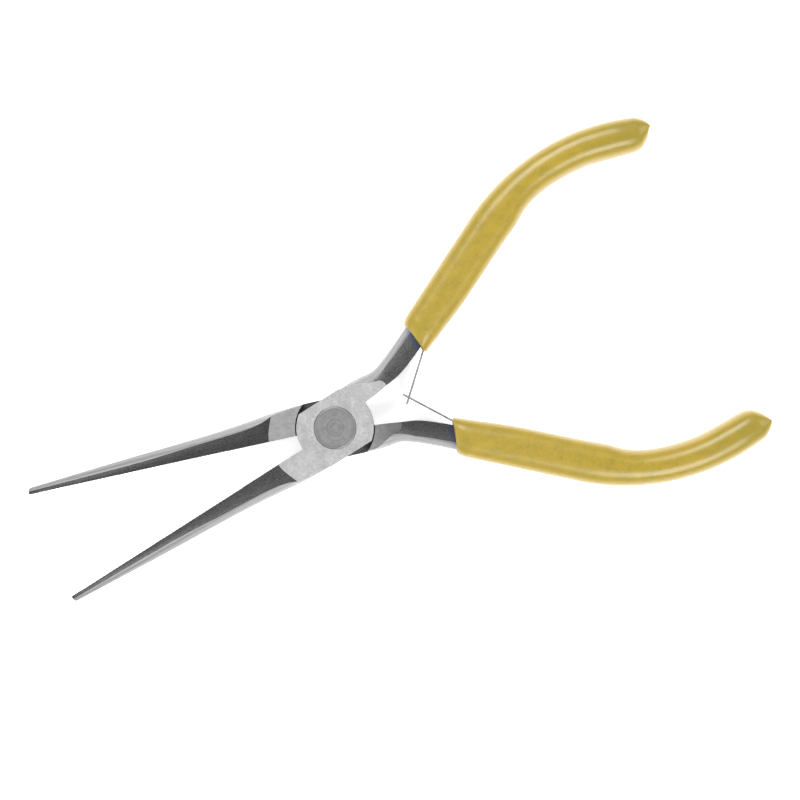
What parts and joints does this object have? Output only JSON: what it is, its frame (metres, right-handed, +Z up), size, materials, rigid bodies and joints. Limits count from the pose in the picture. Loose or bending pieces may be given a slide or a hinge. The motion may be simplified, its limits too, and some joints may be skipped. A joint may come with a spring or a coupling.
{
  "type": "needle nose pliers",
  "caption": "Slim long nose pliers with a riveted lap joint, bent sleeve grips and interlocking leaf springs that hold the jaws open.",
  "frame": {"origin": "on the pivot axis, level with the underside of the joint, which rests on the surface", "axes": "+X along the middle line to the jaw tips, +Z up out of the upper cheek along the pivot axis, +Y to the side of the front jaw"},
  "size_m": [0.1441, 0.0734, 0.009],
  "materials": {
    "forged_steel": "ground bright cheeks, darker satin flanks, polished backs",
    "rivet_steel": "turned and ground flush, fine concentric marks",
    "spring_steel": "bright rolled strip",
    "yellow_vinyl": "soft gloss yellow vinyl sleeve"
  },
  "bodies": {
    "front": {"front_half": "forged_steel", "front_grip": "yellow_vinyl", "pivot_rivet": "rivet_steel", "front_spring_rivet": "rivet_steel"},
    "rear": {"rear_half": "forged_steel", "rear_grip": "yellow_vinyl", "rear_spring_rivet": "rivet_steel"},
    "front_leaf": {"tongue_leaf_spring": "spring_steel"},
    "rear_leaf": {"slotted_leaf_spring": "spring_steel"}
  },
  "joints": [
    {"name": "pivot", "type": "hinge", "parent": "front", "child": "rear", "pos_m": [0, 0, 0.0045], "axis": [0, 0, 1], "range_deg": [-8, 20], "stiffness_Nm_per_rad": 1.2},
    {"name": "front_leaf_flex", "type": "hinge", "parent": "front", "child": "front_leaf", "pos_m": [-0.02351, -0.00912, 0.0045], "axis": [0, 0, 1], "range_deg": [-16.2, 6.6], "deforming": ["tongue_leaf_spring"]},
    {"name": "rear_leaf_flex", "type": "hinge", "parent": "rear", "child": "rear_leaf", "pos_m": [-0.02351, 0.00912, 0.0045], "axis": [0, 0, 1], "range_deg": [-6.6, 16.2], "deforming": ["slotted_leaf_spring"]}
  ],
  "couplings": [
    {"joint": "front_leaf_flex", "follows": "pivot", "ratio": -0.8},
    {"joint": "rear_leaf_flex", "follows": "pivot", "ratio": 0.8}
  ]
}
